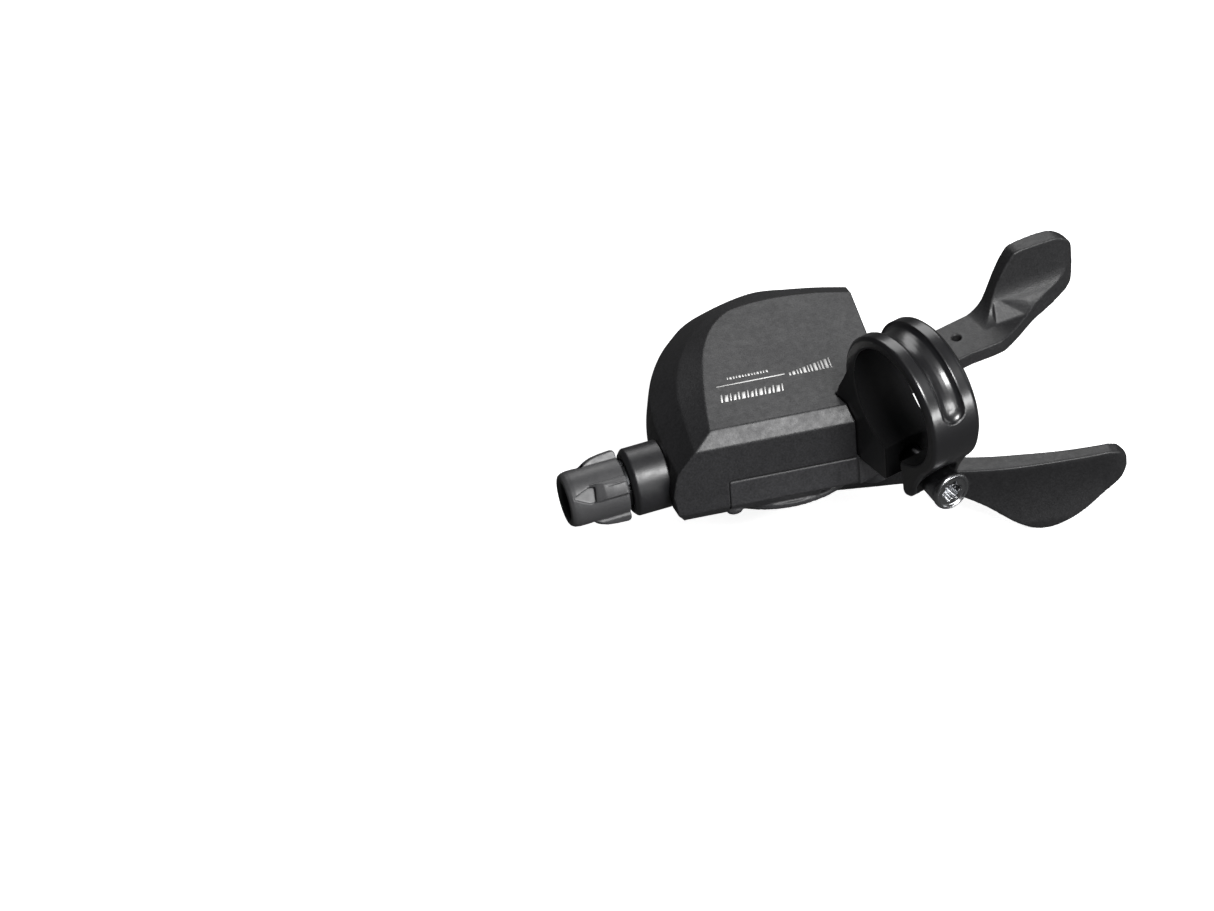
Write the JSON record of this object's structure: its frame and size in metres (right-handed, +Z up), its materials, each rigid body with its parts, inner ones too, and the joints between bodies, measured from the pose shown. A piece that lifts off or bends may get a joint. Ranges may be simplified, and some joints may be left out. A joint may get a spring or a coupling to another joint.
{
  "type": "thumb shifter",
  "caption": "Clamp-on handlebar gear shifter with a thumb lever, a release trigger, a ratchet and cable drum in a two-part casing, and a barrel adjuster.",
  "frame": {"origin": "centre of the handlebar clamp's bore, at the middle of the band's width", "axes": "+X along the handlebar towards its free end, +Y forward, away from the rider, +Z up, square to the casing's flat top"},
  "size_m": [0.108, 0.0713, 0.0571],
  "materials": {
    "casing": "fine-grained matte charcoal moulding",
    "clamp": "black anodised aluminium, satin",
    "cable_stop": "black moulding, semi-matte",
    "knob": "black moulding, semi-matte with a light sheen",
    "lever": "black glass-filled moulding, fine grain",
    "bright_screw": "bright plated",
    "steel": "zinc-plated steel",
    "plate_steel": "stamped steel",
    "spring": "drawn spring wire",
    "bronze": "sintered bronze",
    "drum": "natural acetal"
  },
  "bodies": {
    "housing": {"upper_cover": "casing", "lower_case": "casing", "clamp_band": "clamp", "clamp_screw": "bright_screw", "clamp_fixing_screw": "steel", "base_plate": "plate_steel", "upper_plate": "plate_steel", "main_axle": "steel", "axle_nut": "steel", "axle_bush": "bronze", "axle_washer": "plate_steel", "cover_screws": "steel", "trigger_pivot_pin": "steel", "pawl_pivot_pin": "steel", "cable_stop": "cable_stop", "adjuster_spring": "spring"},
    "drum": {"cable_drum": "drum", "ratchet_wheel": "plate_steel", "drum_return_spring": "spring"},
    "thumb_lever": {"thumb_lever": "lever", "lever_carrier": "plate_steel", "lever_return_spring": "spring", "drive_pawl_pin": "steel", "drive_pawl_spring": "spring"},
    "drive_pawl": {"drive_pawl": "plate_steel"},
    "release_trigger": {"release_trigger": "lever", "trigger_spring": "spring"},
    "holding_pawl": {"holding_pawl": "plate_steel", "holding_pawl_spring": "spring"},
    "detent_ring": {"detent_ring": "bright_screw"},
    "adjuster": {"adjuster_bolt": "bright_screw", "adjuster_knob": "knob"}
  },
  "joints": [
    {"name": "thumb_lever_push", "type": "hinge", "parent": "housing", "child": "thumb_lever", "pos_m": [-0.00926, 0.03355, -0.02819], "axis": [0, 0, 1], "range_deg": [0, 45]},
    {"name": "drum_turn", "type": "hinge", "parent": "housing", "child": "drum", "pos_m": [-0.00926, 0.03355, -0.02819], "axis": [0, 0, 1], "range_deg": [0, 45]},
    {"name": "drive_pawl_lift", "type": "hinge", "parent": "thumb_lever", "child": "drive_pawl", "pos_m": [-0.01937, 0.04309, -0.02319], "axis": [0, 0, 1], "range_deg": [-8, 0]},
    {"name": "trigger_pull", "type": "hinge", "parent": "housing", "child": "release_trigger", "pos_m": [0.00449, 0.03312, -0.02319], "axis": [0, 0, 1], "range_deg": [-10, 0]},
    {"name": "holding_pawl_lift", "type": "hinge", "parent": "housing", "child": "holding_pawl", "pos_m": [0.00571, 0.04335, -0.02319], "axis": [0, 0, 1], "range_deg": [-10, 0]},
    {"name": "adjuster_advance", "type": "slide", "parent": "housing", "child": "detent_ring", "axis": [-0.9585, 0.2816, -0.0436], "range_m": [0, 0.003]},
    {"name": "adjuster_spin", "type": "hinge", "parent": "detent_ring", "child": "adjuster", "pos_m": [-0.04325, 0.03411, -0.02143], "axis": [-0.9585, 0.2816, -0.0436], "range_deg": [0, 1080]}
  ],
  "couplings": [
    {"joint": "drum_turn", "follows": "thumb_lever_push", "ratio": 1},
    {"joint": "holding_pawl_lift", "follows": "trigger_pull", "ratio": 1},
    {"joint": "adjuster_spin", "follows": "adjuster_advance", "rad_per_m": 6283.2}
  ]
}
